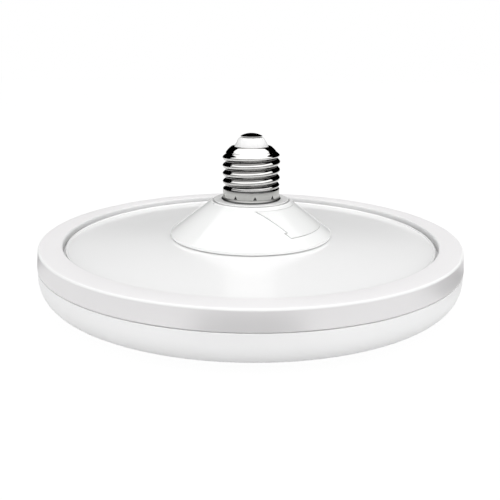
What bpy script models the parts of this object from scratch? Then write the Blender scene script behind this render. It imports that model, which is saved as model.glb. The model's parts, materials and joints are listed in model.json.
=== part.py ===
"""An LED disc lamp with a screw cap, standing on its diffuser with the cap up.

Metres, +Z up. The origin is the centre of the diffuser's flat face, which the lamp stands on.
Angles run from +X towards +Y. The front of the lamp looks along -Y.
"""

import math

import bmesh
import bpy
from mathutils import Matrix, Vector

FIT = 0.0003  # gap between two pieces that touch
WELD = 0.00001

DISC_SEGMENTS = 48
NECK_SEGMENTS = 40
SHELL_SEGMENTS = 28
SMALL_SEGMENTS = 16
HOLE_SEGMENTS = 12
SCREW_SEGMENTS = 12

# Rim ring: an outer band, a flat top, and a hem that turns down round its opening
DISC_R = 0.0960
RING_TOP_WIDTH = 0.0109
RING_WALL = 0.0021
RING_FLANGE = 0.0018
RING_EDGE_ROUND = 0.0009
HEM_DEPTH = 0.0040
HEM_WALL = 0.0015

# Back plate: a shallow cone with a flanged edge that hangs under the ring's hem
PLATE_WALL = 0.0012
PLATE_RISE = 0.0022
PLATE_EDGE_HEIGHT = 0.0018
PLATE_EDGE_ROUND = 0.0009
WIRE_HOLE_R = 0.0055

# Diffuser: a bowl whose spigot snaps into the ring's band
DIFFUSER_INSET = 0.0005
DIFFUSER_WALL = 0.0015
SPIGOT_HEIGHT = 0.0027
SNAP_BEAD = 0.0006
DIFFUSER_SIDE = 0.0038
CORNER_WIDTH = 0.0051
CORNER_DROP = 0.0089
DOME_ANGLE = math.radians(12)
STANDING_R = 0.0580

# Neck: a hollow cone with a collar, on which the cap is crimped
NECK_BASE_R = 0.0373
NECK_TOP_R = 0.0180
NECK_HEIGHT = 0.0159
NECK_RIM = 0.0013
NECK_WALL = 0.0026
COLLAR_R = 0.0161
COLLAR_HEIGHT = 0.0005
GROOVE_WIDTH = 0.0004
GROOVE_DEPTH = 0.0005
SPIGOT_BORE_R = 0.0090
LEAD_SLOT_WIDTH = 0.0018
LEAD_SLOT_DEPTH = 0.0022

# Side panel: a blank cover in a pocket of the cone, a little wider at its foot
PANEL_ANGLE = math.radians(-23.2)
PANEL_HALF_WIDTH = 0.0170
PANEL_FOOT_WIDENING = 0.0012
PANEL_FOOT_LENGTH = 0.0022
PANEL_FOOT_STEP = 0.0002
PANEL_TOP_R = 0.0190
PANEL_FOOT_R = 0.0323
PANEL_WALL = 0.0012

# Screw cap: standard 27 mm Edison thread rolled in thin sheet
THREAD_CREST_R = 0.01315
THREAD_ROOT_R = 0.01195
THREAD_PITCH = 0.003629
THREAD_LENGTH = 0.0150
THREAD_RUN_OUT = 0.0020
THREAD_ROWS_PER_PITCH = 5
FIRST_CREST_HEIGHT = 0.0189  # above the cap's lower edge, at angle 180 degrees
SHELL_WALL = 0.0004
SKIRT_R = 0.01295
SKIRT_HEIGHT = 0.0046
FLARE = 0.0007
FLARE_HEIGHT = 0.0013
SHOULDER_HEIGHT = 0.0043
SHOULDER_POWER = 1.7
MOUTH_R = 0.00835
INSULATOR_TOP_R = 0.00555
INSULATOR_HEIGHT = 0.0038
INSULATOR_WALL = 0.0029
CONTACT_R = 0.0049
CONTACT_HEIGHT = 0.0016
CONTACT_FLAT_R = 0.0024
RIVET_R = 0.0012
RIVET_LENGTH = 0.0036

# LED board, on the plate's flat underside
LED_BOARD_R = 0.0640
LED_BOARD_WALL = 0.0016
SEAT_MARGIN = 0.0020
LED_LENGTH = 0.0035
LED_WIDTH = 0.0028
LED_HEIGHT = 0.0007
LED_EDGE_MARGIN = 0.0060
LED_COUNTS = (8, 16, 24)  # packages in the inner, middle and outer circle

# Screws and the bosses and posts that they bite in
NECK_BOSS_R = 0.0030
NECK_BOSS_INSET = 0.0016
NECK_SCREW_R = 0.00125
NECK_SCREW_BITE = 0.0035
BOARD_POST_R = 0.0022
BOARD_POST_INSET = 0.0024
BOARD_SCREW_R = 0.0008
BOARD_SCREW_BITE = 0.0030
HEAD_OVER_SHANK = 2.1
HEAD_HEIGHT_SHARE = 0.95
FASTENERS = 3

# Driver board and what it carries
DRIVER_BOARD_WALL = 0.0016
DRIVER_BOARD_LIFT = 0.0022
BIG_CAPACITOR_R = 0.0050
BIG_CAPACITOR_HEIGHT = 0.0160
SMALL_CAPACITOR_R = 0.0032
SMALL_CAPACITOR_HEIGHT = 0.0070
CHOKE_R = 0.0030
CHOKE_HEIGHT = 0.0065
TRANSFORMER_SIZE = (0.0080, 0.0090, 0.0070)
FILM_CAPACITOR_SIZE = (0.0040, 0.0080, 0.0065)
RECTIFIER_SIZE = (0.0048, 0.0070, 0.0026)
FUSE_RESISTOR_R = 0.0018
FUSE_RESISTOR_LENGTH = 0.0080
CHIP_SIZE = (0.0039, 0.0049, 0.0014)
CHIP_RADIUS = 0.0120
LEAD_R = 0.0005
LEAD_GAP = 0.0005  # between the big capacitor and the leads that pass it
LED_LEAD_CIRCLE = 0.0030
LED_PAD_CIRCLE = 0.0125

# Radii that follow
HOLE_R = DISC_R - RING_TOP_WIDTH
RING_INNER_R = DISC_R - RING_WALL
PLATE_R = HOLE_R - FIT
PLATE_FLANGE_R = RING_INNER_R - 2 * FIT
DIFFUSER_R = DISC_R - DIFFUSER_INSET
DIFFUSER_SPIGOT_R = RING_INNER_R - FIT
SEAT_R = LED_BOARD_R + SEAT_MARGIN
CORNER_END = math.atan2(CORNER_DROP, CORNER_WIDTH * math.tan(DOME_ANGLE))
CORNER_END_R = DIFFUSER_R - CORNER_WIDTH * (1 - math.cos(CORNER_END))
DOME_R = (CORNER_END_R - STANDING_R) / math.sin(DOME_ANGLE)
CAP_SPIGOT_R = THREAD_ROOT_R - SHELL_WALL - FIT
CRIMP_LAND_R = SKIRT_R - SHELL_WALL - FIT
INSULATOR_R = MOUTH_R - SHELL_WALL - FIT

# Heights that follow, from the diffuser's flat face up
Z_DOME_TOP = DOME_R * (1 - math.cos(DOME_ANGLE))
Z_DIFFUSER_SIDE = Z_DOME_TOP + CORNER_DROP * math.sin(CORNER_END)
Z_DIFFUSER_SHOULDER = Z_DIFFUSER_SIDE + DIFFUSER_SIDE
Z_DIFFUSER_TOP = Z_DIFFUSER_SHOULDER + SPIGOT_HEIGHT
Z_SNAP = Z_DIFFUSER_SHOULDER + SPIGOT_HEIGHT / 2
Z_RING_BOTTOM = Z_DIFFUSER_SHOULDER + FIT
Z_FLANGE_BOTTOM = Z_DIFFUSER_TOP + FIT
Z_FLANGE_TOP = Z_FLANGE_BOTTOM + PLATE_WALL
Z_HEM_BOTTOM = Z_FLANGE_TOP + FIT
Z_RING_TOP = Z_HEM_BOTTOM + HEM_DEPTH
Z_PLATE_EDGE = Z_FLANGE_TOP + PLATE_EDGE_HEIGHT
Z_PLATE_TOP = Z_PLATE_EDGE + PLATE_RISE
Z_NECK_BASE = Z_PLATE_TOP + FIT
Z_CONE_FOOT = Z_NECK_BASE + NECK_RIM
Z_CONE_TOP = Z_NECK_BASE + NECK_HEIGHT
Z_CEILING = Z_CONE_TOP - NECK_WALL
Z_COLLAR = Z_CONE_TOP + COLLAR_HEIGHT
Z_CAP = Z_COLLAR + FIT
Z_SKIRT_TOP = Z_CAP + SKIRT_HEIGHT
Z_SHOULDER = Z_SKIRT_TOP + THREAD_LENGTH
Z_SPIGOT_TOP = Z_SHOULDER
Z_INSULATOR_BOTTOM = Z_SPIGOT_TOP + FIT
Z_MOUTH = Z_SHOULDER + SHOULDER_HEIGHT
Z_INSULATOR_TOP = Z_MOUTH + INSULATOR_HEIGHT
Z_CONTACT = Z_INSULATOR_TOP + FIT
Z_BOARD_BOTTOM = Z_NECK_BASE + DRIVER_BOARD_LIFT
Z_BOARD_TOP = Z_BOARD_BOTTOM + DRIVER_BOARD_WALL

CONE_SLOPE = math.atan2(Z_CONE_TOP - Z_CONE_FOOT, NECK_BASE_R - NECK_TOP_R)


def cone_radius(height):
    """Outer radius of the neck's cone at a height."""
    return NECK_BASE_R - (height - Z_CONE_FOOT) / math.tan(CONE_SLOPE)


def cone_height(radius):
    """Height of the neck's outer cone at a radius."""
    return Z_CONE_FOOT + (NECK_BASE_R - radius) * math.tan(CONE_SLOPE)


def inner_cone_radius(height):
    """Radius of the hollow inside the neck's cone at a height."""
    return cone_radius(height) - NECK_WALL / math.sin(CONE_SLOPE)


def plate_height(radius):
    """Height of the plate's top face at a radius."""
    edge_r = PLATE_R - PLATE_EDGE_ROUND
    share = (radius - NECK_BASE_R) / (edge_r - NECK_BASE_R)
    return Z_PLATE_TOP - PLATE_RISE * min(max(share, 0), 1)


Z_SEAT = plate_height(SEAT_R) - PLATE_WALL
Z_LED_BOARD_TOP = Z_SEAT - FIT
Z_LED_BOARD_BOTTOM = Z_LED_BOARD_TOP - LED_BOARD_WALL
NECK_HOLLOW_R = inner_cone_radius(Z_NECK_BASE)
NECK_BOSS_CIRCLE = NECK_HOLLOW_R - NECK_BOSS_R - NECK_BOSS_INSET
DRIVER_BOARD_R = NECK_BOSS_CIRCLE - NECK_BOSS_R - 2 * FIT
BOARD_POST_CIRCLE = DRIVER_BOARD_R - BOARD_POST_R - BOARD_POST_INSET
COMPONENT_CIRCLE = (BIG_CAPACITOR_R + BOARD_POST_CIRCLE - BOARD_POST_R) / 2
LEAD_CIRCLE = BIG_CAPACITOR_R + LEAD_GAP + LEAD_R
THIRD_TURN = 2 * math.pi / FASTENERS
NECK_BOSS_ANGLES = [PANEL_ANGLE + THIRD_TURN * (0.5 + k) for k in range(FASTENERS)]
BOARD_POST_ANGLES = [PANEL_ANGLE + THIRD_TURN * k for k in range(FASTENERS)]
LIVE_ANGLE = math.pi
NEUTRAL_ANGLE = 0.0


def clear_scene():
    for old in list(bpy.data.objects):
        bpy.data.objects.remove(old, do_unlink=True)


def make_material(name, colour, roughness, metallic=0.0):
    material = bpy.data.materials.new(name)
    material.use_nodes = True
    shader = material.node_tree.nodes["Principled BSDF"]
    shader.inputs["Base Color"].default_value = (*colour, 1.0)
    shader.inputs["Roughness"].default_value = roughness
    shader.inputs["Metallic"].default_value = metallic
    return material


def make_object(name, bm, material=None):
    """Turns a bmesh into a smooth-shaded object with crisp edges."""
    mesh = bpy.data.meshes.new(name)
    bmesh.ops.remove_doubles(bm, verts=bm.verts, dist=WELD)
    bmesh.ops.recalc_face_normals(bm, faces=bm.faces)
    bm.to_mesh(mesh)
    bm.free()
    mesh.shade_smooth()
    mesh.set_sharp_from_angle(angle=math.radians(32))
    if material:
        mesh.materials.append(material)
    made = bpy.data.objects.new(name, mesh)
    bpy.context.scene.collection.objects.link(made)
    return made


def make_cutter(name, bm):
    """A solid that only shapes its neighbours."""
    cutter = make_object(name, bm)
    cutter.hide_render = True
    cutter.display_type = "WIRE"
    return cutter


def add_boolean(target, other, operation):
    modifier = target.modifiers.new(f"{operation.lower()} {other.name}", "BOOLEAN")
    modifier.operation = operation
    modifier.object = other
    modifier.solver = "EXACT"
    return modifier


def spin_outline(bm, outline, segments, at=(0, 0)):
    """Turns an outline of (radius, height) round a vertical line through at.

    An outline that starts and ends on the line stays open there, and any other is closed.
    """
    corners = [bm.verts.new((at[0] + radius, at[1], height)) for radius, height in outline]
    pairs = list(zip(corners, corners[1:]))
    if outline[0][0] > 0 or outline[-1][0] > 0:
        pairs.append((corners[-1], corners[0]))
    edges = [bm.edges.new(pair) for pair in pairs]
    bmesh.ops.spin(
        bm,
        geom=corners + edges,
        cent=(*at, 0),
        axis=(0, 0, 1),
        angle=2 * math.pi,
        steps=segments,
        use_merge=True,
    )


def turned(name, outline, segments, material):
    bm = bmesh.new()
    spin_outline(bm, outline, segments)
    return make_object(name, bm, material)


def cylinder_outline(radius, low, high):
    return [(0, low), (radius, low), (radius, high), (0, high)]


def polar(radius, angle, height=0.0):
    return Vector((radius * math.cos(angle), radius * math.sin(angle), height))


def arc(centre, width, height, start, end, steps):
    """Points on an ellipse in the (radius, height) plane, angles in radians."""
    found = []
    for k in range(steps + 1):
        angle = start + (end - start) * k / steps
        found.append((centre[0] + width * math.cos(angle), centre[1] + height * math.sin(angle)))
    return found


def posts_cutter(name, circle, angles, radius, low, high):
    """Upright cylinders on a circle, as one cutter."""
    bm = bmesh.new()
    for angle in angles:
        x, y, _ = polar(circle, angle)
        spin_outline(bm, cylinder_outline(radius, low, high), HOLE_SEGMENTS, (x, y))
    return make_cutter(name, bm)


def rounded_box(name, size, material, edge=0.0004):
    bm = bmesh.new()
    bmesh.ops.create_cube(bm, size=1.0)
    bmesh.ops.scale(bm, vec=size, verts=bm.verts)
    bmesh.ops.translate(bm, vec=(0, 0, size[2] / 2), verts=bm.verts)
    made = make_object(name, bm, material)
    bevel = made.modifiers.new("edges", "BEVEL")
    bevel.width = edge
    bevel.segments = 1
    return made


def place(made, radius, angle, height):
    made.location = polar(radius, angle, height)
    made.rotation_euler = (0, 0, angle)


def build_rim_ring(material):
    round_r = RING_EDGE_ROUND
    hem_r = HOLE_R + HEM_WALL
    z_flange = Z_RING_TOP - RING_FLANGE
    outline = [(RING_INNER_R, Z_RING_BOTTOM), (DISC_R, Z_RING_BOTTOM)]
    outline += arc((DISC_R - round_r, Z_RING_TOP - round_r), round_r, round_r, 0, math.pi / 2, 3)
    outline += [
        (HOLE_R + FIT, Z_RING_TOP),
        (HOLE_R, Z_RING_TOP - FIT),
        (HOLE_R, Z_HEM_BOTTOM),
        (hem_r, Z_HEM_BOTTOM),
        (hem_r, z_flange),
        (RING_INNER_R, z_flange),
        (RING_INNER_R, Z_SNAP + SNAP_BEAD),
        (RING_INNER_R + SNAP_BEAD, Z_SNAP),
        (RING_INNER_R, Z_SNAP - SNAP_BEAD),
    ]
    return turned("rim_ring", outline, DISC_SEGMENTS, material)


def build_back_plate(material):
    round_r = PLATE_EDGE_ROUND
    inner_r = PLATE_R - PLATE_WALL
    outline = [(WIRE_HOLE_R, Z_SEAT), (WIRE_HOLE_R, Z_PLATE_TOP), (NECK_BASE_R, Z_PLATE_TOP)]
    centre = (PLATE_R - round_r, Z_PLATE_EDGE - round_r)
    outline += arc(centre, round_r, round_r, math.pi / 2, 0, 3)
    outline += [
        (PLATE_R, Z_FLANGE_TOP),
        (PLATE_FLANGE_R, Z_FLANGE_TOP),
        (PLATE_FLANGE_R, Z_FLANGE_BOTTOM),
        (inner_r, Z_FLANGE_BOTTOM),
        (inner_r, plate_height(inner_r) - PLATE_WALL),
        (SEAT_R, Z_SEAT),
    ]
    plate = turned("back_plate", outline, DISC_SEGMENTS, material)
    holes = posts_cutter(
        "plate_screw_holes",
        NECK_BOSS_CIRCLE,
        NECK_BOSS_ANGLES,
        NECK_SCREW_R + FIT,
        Z_LED_BOARD_BOTTOM,
        Z_NECK_BASE,
    )
    add_boolean(plate, holes, "DIFFERENCE")
    return plate


def dome_points(lift, steps):
    """The diffuser's underside from its corner to its flat, raised by lift."""
    found = []
    for k in range(1, steps + 1):
        angle = DOME_ANGLE * (1 - k / steps)
        radius = STANDING_R + DOME_R * math.sin(angle)
        found.append((radius, lift + DOME_R * (1 - math.cos(angle))))
    return found


def build_diffuser(material):
    spigot_r = DIFFUSER_SPIGOT_R
    wall = DIFFUSER_WALL
    corner = (DIFFUSER_R - CORNER_WIDTH, Z_DIFFUSER_SIDE)
    outside = [
        (spigot_r - wall, Z_DIFFUSER_TOP),
        (spigot_r, Z_DIFFUSER_TOP),
        (spigot_r, Z_SNAP + SNAP_BEAD),
        (spigot_r + SNAP_BEAD, Z_SNAP),
        (spigot_r, Z_SNAP - SNAP_BEAD),
        (spigot_r, Z_DIFFUSER_SHOULDER),
        (DIFFUSER_R, Z_DIFFUSER_SHOULDER),
    ]
    outside += arc(corner, CORNER_WIDTH, CORNER_DROP, 0, -CORNER_END, 6)
    outside += dome_points(0, 4) + [(0, 0)]
    inside = [
        (spigot_r - wall, Z_DIFFUSER_SHOULDER - wall),
        (DIFFUSER_R - wall, Z_DIFFUSER_SHOULDER - 2 * wall),
    ]
    inside += arc(corner, CORNER_WIDTH - wall, CORNER_DROP - wall, 0, -CORNER_END, 3)
    inside += dome_points(wall, 2) + [(0, wall)]
    outline = list(reversed(outside)) + inside
    return turned("diffuser", outline, DISC_SEGMENTS, material)


def neck_outline():
    """The neck's outside, solid, from its base up to the end of the cap's spigot."""
    groove_r = COLLAR_R + GROOVE_WIDTH
    z_land = Z_SKIRT_TOP - 2 * FIT
    return [
        (0, Z_NECK_BASE),
        (NECK_BASE_R, Z_NECK_BASE),
        (NECK_BASE_R, Z_CONE_FOOT),
        (NECK_TOP_R, Z_CONE_TOP),
        (groove_r, Z_CONE_TOP),
        (groove_r, Z_CONE_TOP - GROOVE_DEPTH),
        (COLLAR_R, Z_CONE_TOP - GROOVE_DEPTH),
        (COLLAR_R, Z_COLLAR - FIT),
        (COLLAR_R - FIT, Z_COLLAR),
        (CRIMP_LAND_R, Z_COLLAR),
        (CRIMP_LAND_R, z_land - (CRIMP_LAND_R - CAP_SPIGOT_R)),
        (CAP_SPIGOT_R, z_land),
        (CAP_SPIGOT_R, Z_SPIGOT_TOP),
        (0, Z_SPIGOT_TOP),
    ]


def build_neck_hollow():
    """What the neck's hollow takes away: its cone and bore, less the bosses and posts."""
    past = NECK_WALL
    outline = [
        (0, Z_NECK_BASE - past),
        (NECK_HOLLOW_R, Z_NECK_BASE - past),
        (NECK_HOLLOW_R, Z_NECK_BASE),
        (inner_cone_radius(Z_CEILING), Z_CEILING),
        (SPIGOT_BORE_R, Z_CEILING),
        (SPIGOT_BORE_R, Z_SPIGOT_TOP + past),
        (0, Z_SPIGOT_TOP + past),
    ]
    bm = bmesh.new()
    spin_outline(bm, outline, NECK_SEGMENTS)
    hollow = make_cutter("neck_hollow", bm)
    bosses = posts_cutter(
        "neck_bosses",
        NECK_BOSS_CIRCLE,
        NECK_BOSS_ANGLES,
        NECK_BOSS_R,
        Z_NECK_BASE - 2 * past,
        Z_CONE_TOP,
    )
    posts = posts_cutter(
        "board_posts",
        BOARD_POST_CIRCLE,
        BOARD_POST_ANGLES,
        BOARD_POST_R,
        Z_BOARD_TOP + FIT,
        Z_CONE_TOP,
    )
    add_boolean(hollow, bosses, "DIFFERENCE")
    add_boolean(hollow, posts, "DIFFERENCE")
    return hollow


def panel_rows(grow):
    """Rows of (radius, half width) down the panel, all edges moved out by grow."""
    step_r = PANEL_FOOT_R - PANEL_FOOT_LENGTH
    narrow = PANEL_HALF_WIDTH + grow
    wide = narrow + PANEL_FOOT_WIDENING
    top_r = PANEL_TOP_R - grow
    step_r -= grow
    rows = [(top_r + (step_r - top_r) * k / 5, narrow) for k in range(6)]
    rows += [(step_r + PANEL_FOOT_STEP, wide), (PANEL_FOOT_R + grow, wide)]
    return rows


def panel_solid(grow, above, below):
    """A patch of the cone between two faces, above and below its surface."""
    columns = 14
    normal_r = math.sin(CONE_SLOPE)
    normal_z = math.cos(CONE_SLOPE)
    bm = bmesh.new()
    faces = []
    for offset in (above, -below):
        grid = []
        for radius, half_width in panel_rows(grow):
            reach = math.asin(min(half_width / radius, math.sin(math.radians(80))))
            height = cone_height(radius) + offset * normal_z
            row = []
            for k in range(columns + 1):
                angle = PANEL_ANGLE + reach * (2 * k / columns - 1)
                row.append(bm.verts.new(polar(radius + offset * normal_r, angle, height)))
            grid.append(row)
        faces.append(grid)
    top, bottom = faces
    for grid in faces:
        for upper, lower in zip(grid, grid[1:]):
            for k in range(columns):
                bm.faces.new((upper[k], upper[k + 1], lower[k + 1], lower[k]))
    for row in (0, -1):
        for k in range(columns):
            bm.faces.new((top[row][k], top[row][k + 1], bottom[row][k + 1], bottom[row][k]))
    for column in (0, -1):
        for k in range(len(top) - 1):
            bm.faces.new(
                (
                    top[k][column],
                    top[k + 1][column],
                    bottom[k + 1][column],
                    bottom[k][column],
                )
            )
    return bm


def build_neck_housing(material):
    neck = turned("neck_housing", neck_outline(), NECK_SEGMENTS, material)
    add_boolean(neck, build_neck_hollow(), "DIFFERENCE")
    pocket = make_cutter("panel_pocket", panel_solid(FIT, PANEL_WALL, PANEL_WALL + FIT))
    add_boolean(neck, pocket, "DIFFERENCE")
    pilots = posts_cutter(
        "neck_pilot_holes",
        NECK_BOSS_CIRCLE,
        NECK_BOSS_ANGLES,
        NECK_SCREW_R + FIT,
        Z_LED_BOARD_BOTTOM,
        Z_NECK_BASE + NECK_SCREW_BITE + FIT,
    )
    add_boolean(neck, pilots, "DIFFERENCE")
    post_pilots = posts_cutter(
        "post_pilot_holes",
        BOARD_POST_CIRCLE,
        BOARD_POST_ANGLES,
        BOARD_SCREW_R + FIT,
        Z_BOARD_BOTTOM,
        Z_BOARD_TOP + BOARD_SCREW_BITE + 2 * FIT,
    )
    add_boolean(neck, post_pilots, "DIFFERENCE")
    bm = bmesh.new()
    bmesh.ops.create_cube(bm, size=1.0)
    slot_length = THREAD_CREST_R - SPIGOT_BORE_R + NECK_WALL
    bmesh.ops.scale(bm, vec=(slot_length, LEAD_SLOT_WIDTH, 2 * LEAD_SLOT_DEPTH), verts=bm.verts)
    slot = make_cutter("lead_slot", bm)
    place(slot, (THREAD_CREST_R + SPIGOT_BORE_R) / 2, NEUTRAL_ANGLE, Z_SPIGOT_TOP)
    add_boolean(neck, slot, "DIFFERENCE")
    return neck


def build_side_panel(material):
    return make_object("neck_side_panel", panel_solid(0, 0, PANEL_WALL), material)


def ease(value, low, high):
    """0 below low, 1 above high, and a smooth rise between."""
    share = min(max((value - low) / (high - low), 0), 1)
    return share * share * (3 - 2 * share)


def shoulder_radius(height):
    """Outer radius of the shell's rounded end at a height."""
    share = min(max((height - Z_SHOULDER) / SHOULDER_HEIGHT, 0), 1)
    return THREAD_ROOT_R - (THREAD_ROOT_R - MOUTH_R) * share**SHOULDER_POWER


def shell_radius(height, angle):
    """Outer radius of the rolled shell: skirt, right-hand thread, then shoulder."""
    flare = FLARE * max(1 - (height - Z_CAP) / FLARE_HEIGHT, 0) ** 2
    if height <= Z_SKIRT_TOP:
        return SKIRT_R + flare
    drop = ease(height, Z_SKIRT_TOP, Z_SKIRT_TOP + THREAD_RUN_OUT / 2)
    root = SKIRT_R + (shoulder_radius(height) - SKIRT_R) * drop
    into_thread = ease(height, Z_SKIRT_TOP, Z_SKIRT_TOP + THREAD_RUN_OUT)
    out_of_thread = ease(height, Z_SHOULDER, Z_SHOULDER + THREAD_RUN_OUT)
    turns = (height - Z_CAP - FIRST_CREST_HEIGHT) / THREAD_PITCH - (angle - math.pi) / (2 * math.pi)
    ridge = (1 + math.cos(2 * math.pi * turns)) / 2
    depth = THREAD_CREST_R - THREAD_ROOT_R
    return root + depth * ridge * into_thread * (1 - out_of_thread)


def shell_heights():
    heights = [Z_CAP, Z_CAP + FLARE_HEIGHT / 2, Z_CAP + FLARE_HEIGHT, Z_SKIRT_TOP]
    thread_top = Z_SHOULDER + THREAD_RUN_OUT
    rows = math.ceil((thread_top - Z_SKIRT_TOP) / THREAD_PITCH * THREAD_ROWS_PER_PITCH)
    heights += [Z_SKIRT_TOP + (thread_top - Z_SKIRT_TOP) * (k + 1) / rows for k in range(rows)]
    heights += [thread_top + (Z_MOUTH - thread_top) * (k + 1) / 3 for k in range(3)]
    return heights


def build_screw_shell(material):
    bm = bmesh.new()
    sides = []
    for inward in (0, SHELL_WALL):
        grid = []
        for height in shell_heights():
            row = []
            for k in range(SHELL_SEGMENTS):
                angle = 2 * math.pi * k / SHELL_SEGMENTS
                radius = shell_radius(height, angle) - inward
                row.append(bm.verts.new(polar(radius, angle, height)))
            grid.append(row)
        sides.append(grid)
    outside, inside = sides
    rings = outside + list(reversed(inside))
    for lower, upper in zip(rings, rings[1:] + rings[:1]):
        for k in range(SHELL_SEGMENTS):
            after = (k + 1) % SHELL_SEGMENTS
            bm.faces.new((lower[k], lower[after], upper[after], upper[k]))
    return make_object("screw_shell", bm, material)


def build_insulator(material):
    rows = 4
    outline = []
    z_under_mouth = Z_MOUTH - 2 * FIT
    for k in range(rows):
        height = Z_INSULATOR_BOTTOM + (z_under_mouth - Z_INSULATOR_BOTTOM) * k / rows
        outline.append((shoulder_radius(height) - SHELL_WALL - 2 * FIT, height))
    bore_r = RIVET_R + FIT
    hollow_r = INSULATOR_TOP_R - 2 * FIT
    outline += [
        (INSULATOR_R, z_under_mouth),
        (INSULATOR_R, Z_MOUTH),
        (INSULATOR_TOP_R, Z_INSULATOR_TOP),
        (bore_r, Z_INSULATOR_TOP),
        (bore_r, Z_INSULATOR_TOP - INSULATOR_WALL),
        (hollow_r, Z_INSULATOR_TOP - INSULATOR_WALL - (hollow_r - bore_r) / 2),
        (hollow_r, Z_INSULATOR_BOTTOM),
    ]
    return turned("cap_insulator", outline, SHELL_SEGMENTS, material)


def build_contact(material):
    drop = CONTACT_HEIGHT * 0.75
    top = Z_CONTACT + CONTACT_HEIGHT
    outline = [
        (0, Z_CONTACT - RIVET_LENGTH),
        (RIVET_R, Z_CONTACT - RIVET_LENGTH),
        (RIVET_R, Z_CONTACT),
        (CONTACT_R, Z_CONTACT),
    ]
    width = CONTACT_R - CONTACT_FLAT_R
    outline += arc((CONTACT_FLAT_R, top - drop), width, drop, 0, math.pi / 2, 4)
    outline.append((0, top))
    return turned("centre_contact", outline, SMALL_SEGMENTS, material)


def build_led_board(material):
    outline = [
        (WIRE_HOLE_R, Z_LED_BOARD_BOTTOM),
        (LED_BOARD_R, Z_LED_BOARD_BOTTOM),
        (LED_BOARD_R, Z_LED_BOARD_TOP),
        (WIRE_HOLE_R, Z_LED_BOARD_TOP),
    ]
    board = turned("led_board", outline, DISC_SEGMENTS, material)
    holes = posts_cutter(
        "led_board_screw_holes",
        NECK_BOSS_CIRCLE,
        NECK_BOSS_ANGLES,
        NECK_SCREW_R + FIT,
        Z_LED_BOARD_BOTTOM - FIT,
        Z_LED_BOARD_TOP + FIT,
    )
    add_boolean(board, holes, "DIFFERENCE")
    outer = LED_BOARD_R - LED_EDGE_MARGIN
    inner = (WIRE_HOLE_R + LED_PAD_CIRCLE + NECK_BOSS_CIRCLE) / 2
    circles = (inner, (NECK_BOSS_CIRCLE + outer) / 2, outer)
    bm = bmesh.new()
    for circle, count in zip(circles, LED_COUNTS):
        for k in range(count):
            turn = Matrix.Rotation(2 * math.pi * (k + 0.5) / count, 4, "Z")
            size = Matrix.Diagonal((LED_WIDTH, LED_LENGTH, 2 * LED_HEIGHT, 1))
            shift = Matrix.Translation((circle, 0, Z_LED_BOARD_BOTTOM))
            bmesh.ops.create_cube(bm, size=1.0, matrix=turn @ shift @ size)
    add_boolean(board, make_cutter("led_packages", bm), "UNION")
    return board


def build_driver_board(material):
    outline = [
        (0, Z_BOARD_BOTTOM),
        (DRIVER_BOARD_R, Z_BOARD_BOTTOM),
        (DRIVER_BOARD_R, Z_BOARD_TOP),
        (0, Z_BOARD_TOP),
    ]
    board = turned("driver_board", outline, NECK_SEGMENTS, material)
    holes = posts_cutter(
        "driver_board_screw_holes",
        BOARD_POST_CIRCLE,
        BOARD_POST_ANGLES,
        BOARD_SCREW_R + FIT,
        Z_BOARD_BOTTOM - FIT,
        Z_BOARD_TOP + FIT,
    )
    add_boolean(board, holes, "DIFFERENCE")
    return board


def capacitor_can(name, radius, height, material):
    """An aluminium can with a rolled groove above its seal and a rounded top."""
    dent = radius * 0.08
    outline = [
        (0, 0),
        (radius, 0),
        (radius, height * 0.12),
        (radius - dent, height * 0.16),
        (radius, height * 0.20),
        (radius, height - dent),
        (radius - dent, height),
        (0, height),
    ]
    return turned(name, outline, SMALL_SEGMENTS, material)


def wound_choke(name, radius, height, material):
    """A drum core with its winding between two flanges."""
    waist = radius * 0.88
    flange = height * 0.16
    outline = [
        (0, 0),
        (radius, 0),
        (radius, flange),
        (waist, flange),
        (waist, height - flange),
        (radius, height - flange),
        (radius, height),
        (0, height),
    ]
    return turned(name, outline, SMALL_SEGMENTS, material)


def wound_transformer(name, size, material):
    """A ferrite frame with a bobbin whose winding stands out on both sides."""
    length, width, height = size
    core = length * 0.30
    step = width * 0.26
    outline = [
        (-length / 2, -step),
        (-core, -step),
        (-core, -width / 2),
        (core, -width / 2),
        (core, -step),
        (length / 2, -step),
        (length / 2, step),
        (core, step),
        (core, width / 2),
        (-core, width / 2),
        (-core, step),
        (-length / 2, step),
    ]
    bm = bmesh.new()
    face = bm.faces.new([bm.verts.new((x, y, 0)) for x, y in outline])
    lifted = bmesh.ops.extrude_face_region(bm, geom=[face])
    tops = [item for item in lifted["geom"] if isinstance(item, bmesh.types.BMVert)]
    bmesh.ops.translate(bm, vec=(0, 0, height), verts=tops)
    return make_object(name, bm, material)


def laid_resistor(name, radius, length, material):
    """A wire-wound resistor body lying down, its ends a little thicker."""
    waist = radius * 0.88
    cap = length * 0.18
    outline = [
        (0, -length / 2),
        (radius, -length / 2),
        (radius, cap - length / 2),
        (waist, cap - length / 2),
        (waist, length / 2 - cap),
        (radius, length / 2 - cap),
        (radius, length / 2),
        (0, length / 2),
    ]
    bm = bmesh.new()
    spin_outline(bm, outline, SMALL_SEGMENTS)
    bmesh.ops.rotate(bm, matrix=Matrix.Rotation(math.pi / 2, 3, "X"), verts=bm.verts)
    bmesh.ops.translate(bm, vec=(0, 0, radius), verts=bm.verts)
    return make_object(name, bm, material)


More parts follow.
